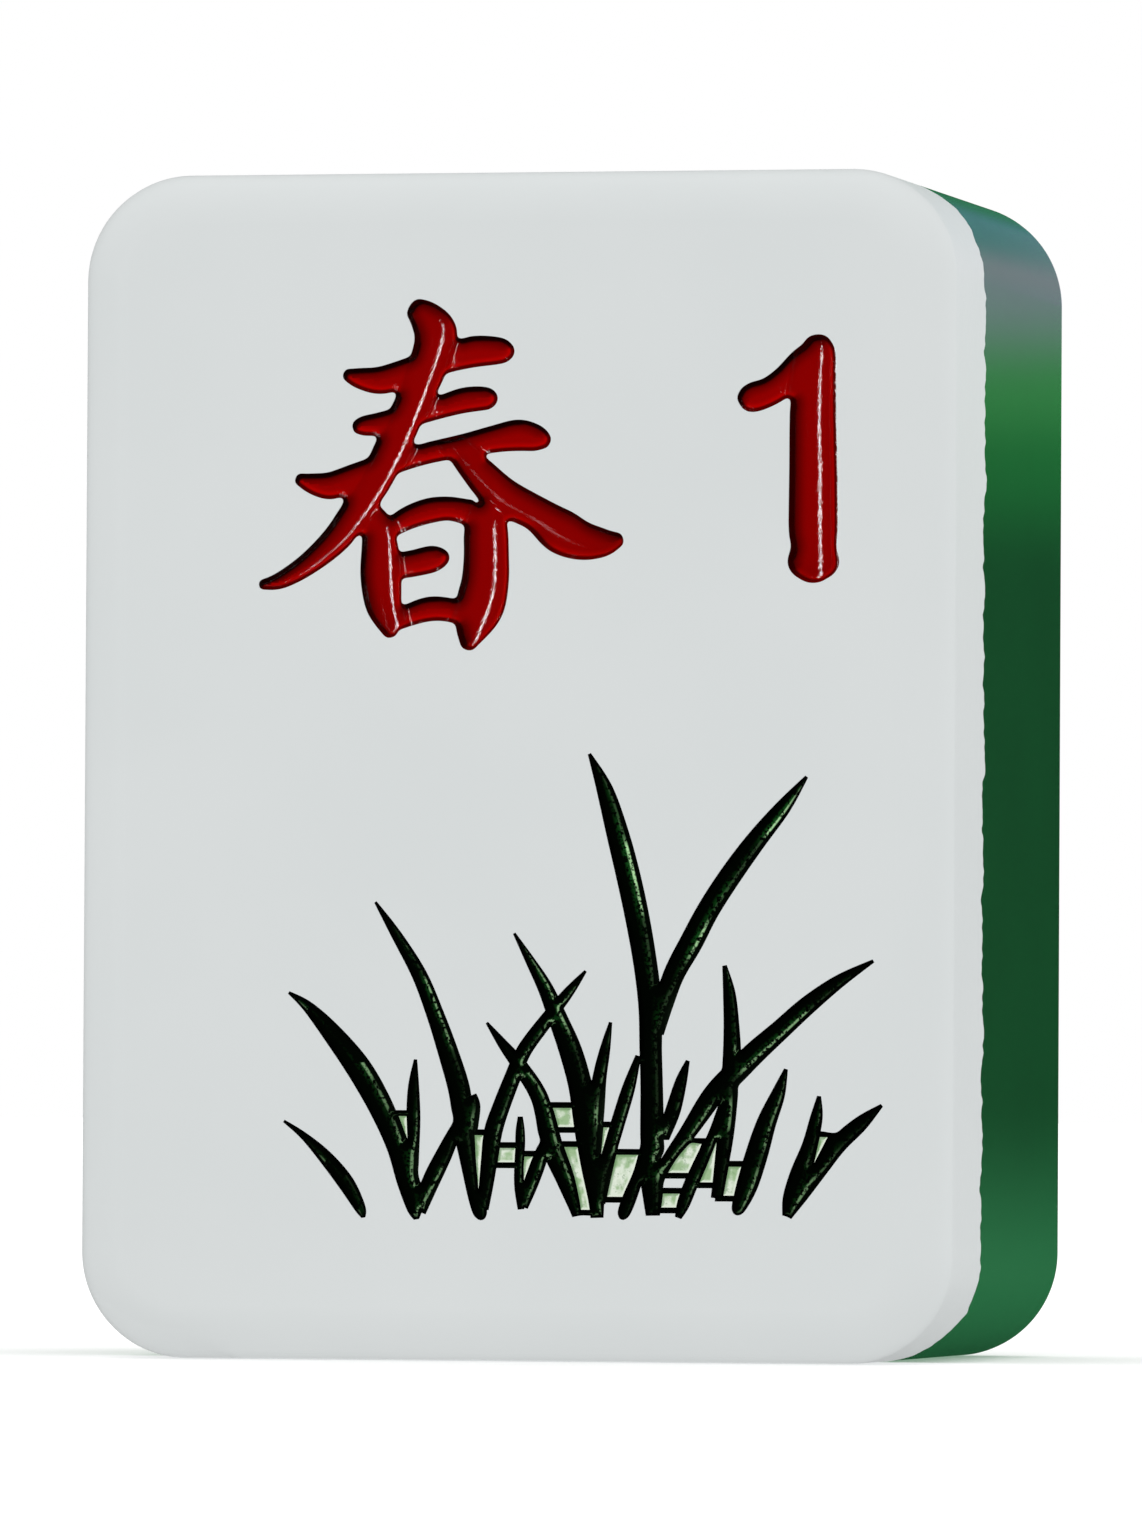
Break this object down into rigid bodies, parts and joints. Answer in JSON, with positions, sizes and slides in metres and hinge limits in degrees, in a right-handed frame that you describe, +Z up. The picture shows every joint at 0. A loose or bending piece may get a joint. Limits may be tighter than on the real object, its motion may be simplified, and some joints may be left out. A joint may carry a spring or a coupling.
{
  "type": "mahjong tile",
  "caption": "Rounded game tile: a white face bonded to a green back, with a season mark, a numeral and grass engraved in the face and filled with enamel.",
  "frame": {"origin": "centre of the tile's bottom end, on the surface it stands on", "axes": "+Z up along the tile's height, -Y out of the engraved face, +X to the right seen from the face"},
  "size_m": [0.03, 0.022, 0.04],
  "materials": {
    "face_resin": "polished white resin",
    "back_resin": "polished deep green resin",
    "bond_glue": "cured clear glue, slightly cloudy",
    "red_enamel": "glossy enamel paint, sunk in the groove",
    "dark_green_enamel": "glossy enamel paint, almost black where it is deep",
    "pale_green_wash": "thin mottled enamel wash"
  },
  "bodies": {
    "root": {"face_block": "face_resin", "back_block": "back_resin", "bond_film": "bond_glue", "season_enamel": "red_enamel", "numeral_enamel": "red_enamel", "lone_blade_enamel": "dark_green_enamel", "tuft_enamel": "dark_green_enamel", "pair_enamel": "dark_green_enamel", "wash_left_fork": "pale_green_wash", "wash_left_strip": "pale_green_wash", "wash_left_sill": "pale_green_wash", "wash_root_sliver": "pale_green_wash", "wash_upper_diamond": "pale_green_wash", "wash_long_strip": "pale_green_wash", "wash_small_notch": "pale_green_wash", "wash_broad_band": "pale_green_wash", "wash_narrow_notch": "pale_green_wash", "wash_centre": "pale_green_wash", "wash_foot": "pale_green_wash", "wash_wedge": "pale_green_wash", "wash_right_band": "pale_green_wash", "wash_pair_fork": "pale_green_wash"}
  },
  "joints": []
}
